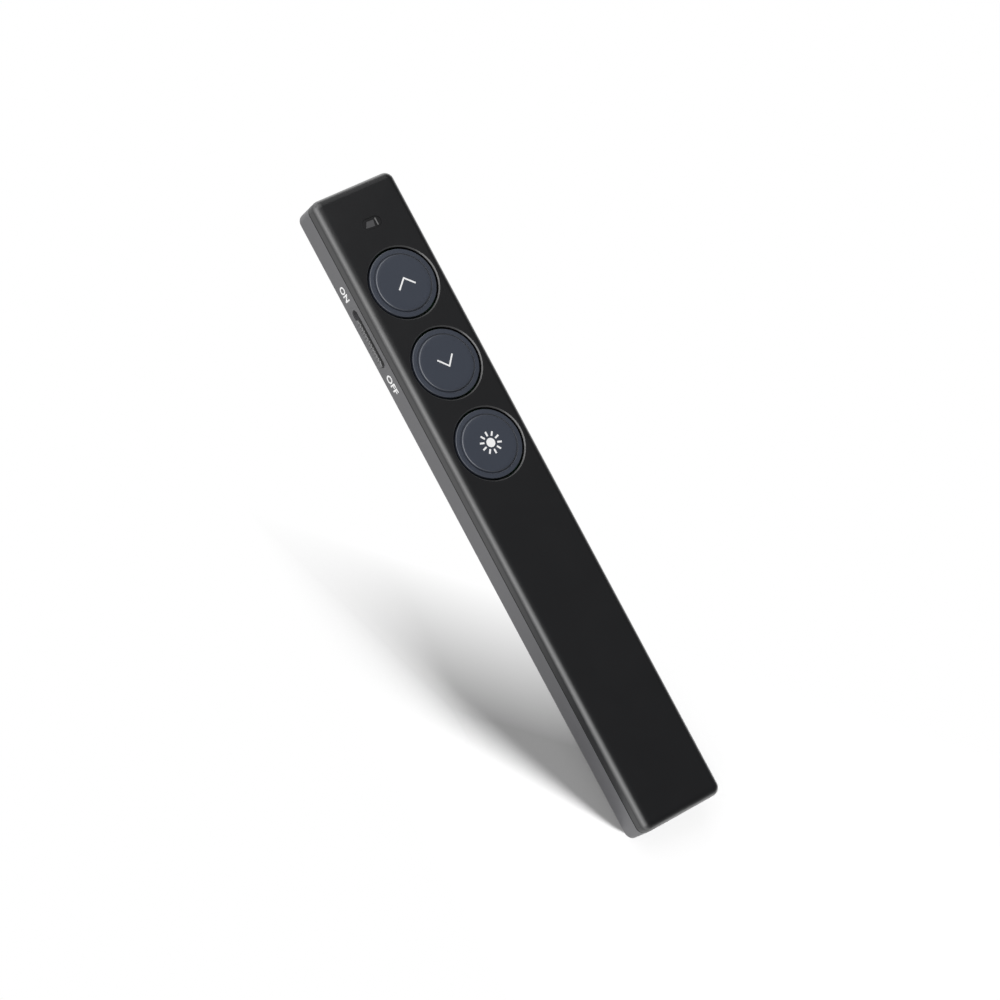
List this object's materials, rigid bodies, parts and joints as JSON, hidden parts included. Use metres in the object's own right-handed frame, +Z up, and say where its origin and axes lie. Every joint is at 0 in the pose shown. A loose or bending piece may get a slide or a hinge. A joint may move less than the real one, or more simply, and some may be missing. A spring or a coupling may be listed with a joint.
{
  "type": "presentation clicker",
  "caption": "Slim wireless presentation clicker with round press buttons, a sliding power switch, a laser end and a USB receiver stored in its tail.",
  "frame": {"origin": "middle of the underside, on the surface that the clicker lies on", "axes": "+X to the right across the clicker seen from above with the laser end away, +Y along it towards the laser end, +Z up through the buttons"},
  "size_m": [0.0208, 0.15, 0.0103],
  "materials": {
    "upper_case": "fine satin texture",
    "lower_case": "fine satin texture",
    "button": "satin, with a white printed mark",
    "slider": "satin",
    "plunger": "plain",
    "switch_base": "plain",
    "sheet_metal": "rolled sheet",
    "circuit_board": "solder mask",
    "light_pipe": "clear moulding",
    "led": "clear epoxy",
    "window": "polished",
    "brass": "turned",
    "lens": "polished",
    "gilded_can": "gilded",
    "screw": "blackened zinc",
    "pouch": "foil pouch",
    "tape": "tape",
    "foam": "closed-cell foam",
    "lead": "insulated wire",
    "socket_metal": "plated",
    "socket_plastic": "plain",
    "chip": "moulded",
    "crystal_can": "plated",
    "antenna": "ceramic",
    "passive": "ceramic",
    "receiver_plastic": "satin",
    "plug_metal": "plated",
    "plug_plastic": "plain",
    "gold": "gilded"
  },
  "bodies": {
    "handset": {"top_shell": "upper_case", "base_shell": "lower_case", "switch_bodies": "switch_base", "switch_covers": "sheet_metal", "slide_switch_body": "switch_base", "slide_switch_cover": "sheet_metal", "main_board": "circuit_board", "light_pipe": "light_pipe", "status_led": "led", "laser_window": "window", "laser_barrel": "brass", "laser_lens": "lens", "laser_diode": "gilded_can", "laser_pins": "gilded_can", "case_screws": "screw", "battery_cell": "pouch", "battery_tape": "tape", "battery_foam": "foam", "protection_board": "circuit_board", "battery_leads": "lead", "charging_socket_shell": "socket_metal", "charging_socket_tongue": "socket_plastic", "radio_controller": "chip", "crystal": "crystal_can", "charging_controller": "chip", "chip_antenna": "antenna", "passives": "passive"},
    "up_button": {"up_button": "button", "up_switch_plunger": "plunger"},
    "down_button": {"down_button": "button", "down_switch_plunger": "plunger"},
    "laser_button": {"laser_button": "button", "laser_switch_plunger": "plunger"},
    "power_slider": {"power_slider": "slider", "slide_switch_lever": "plunger"},
    "receiver": {"receiver_body": "receiver_plastic", "receiver_plug_shell": "plug_metal", "receiver_tongue": "plug_plastic", "receiver_contacts": "gold"}
  },
  "joints": [
    {"name": "up_button_press", "type": "slide", "parent": "handset", "child": "up_button", "axis": [0, 0, -1], "range_m": [0, 0.00035], "stiffness_N_per_m": 2500, "springref_m": -0.0004},
    {"name": "down_button_press", "type": "slide", "parent": "handset", "child": "down_button", "axis": [0, 0, -1], "range_m": [0, 0.00035], "stiffness_N_per_m": 2500, "springref_m": -0.0004},
    {"name": "laser_button_press", "type": "slide", "parent": "handset", "child": "laser_button", "axis": [0, 0, -1], "range_m": [0, 0.00035], "stiffness_N_per_m": 2500, "springref_m": -0.0004},
    {"name": "power_slide", "type": "slide", "parent": "handset", "child": "power_slider", "axis": [0, 1, 0], "range_m": [0, 0.002]},
    {"name": "receiver_pull", "type": "slide", "parent": "handset", "child": "receiver", "axis": [0, -1, 0], "range_m": [0, 0.02]}
  ]
}
